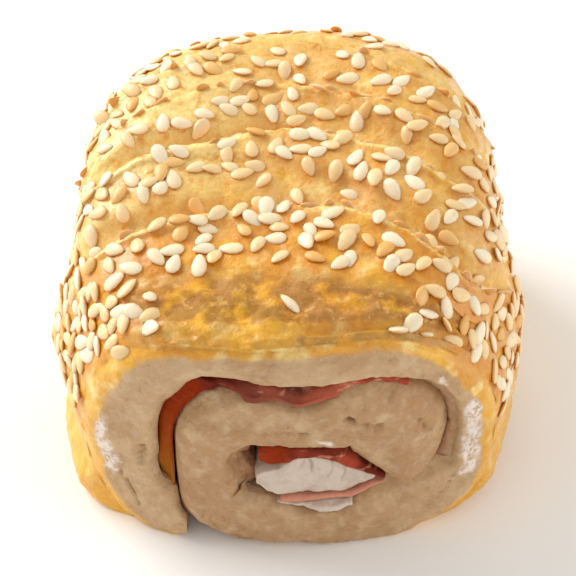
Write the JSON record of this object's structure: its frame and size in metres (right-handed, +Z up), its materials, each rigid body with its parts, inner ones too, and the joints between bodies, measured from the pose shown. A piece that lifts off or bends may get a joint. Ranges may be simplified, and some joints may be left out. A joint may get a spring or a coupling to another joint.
{
  "type": "ham and cheese roll",
  "caption": "Small savoury bread roll, rolled up round ham and cream cheese, with a slashed golden top, sesame seeds and cut ends.",
  "frame": {"origin": "middle of the underside, on the surface that the roll rests on", "axes": "+Z up, +Y along the roll towards its far cut end, +X to the right seen from the near cut end"},
  "size_m": [0.064, 0.073, 0.042],
  "materials": {
    "crust": "egg-washed golden crust with ivory sesame seeds, and a matte pale crumb where it is cut",
    "ham": "moist pink cooked ham",
    "cream_cheese": "soft matte creamy white"
  },
  "bodies": {
    "root": {"dough": "crust", "ham_between_turns": "ham", "ham_over_cheese": "ham", "ham_under_cheese": "ham", "cream_cheese": "cream_cheese", "cream_cheese_smear": "cream_cheese"}
  },
  "joints": []
}
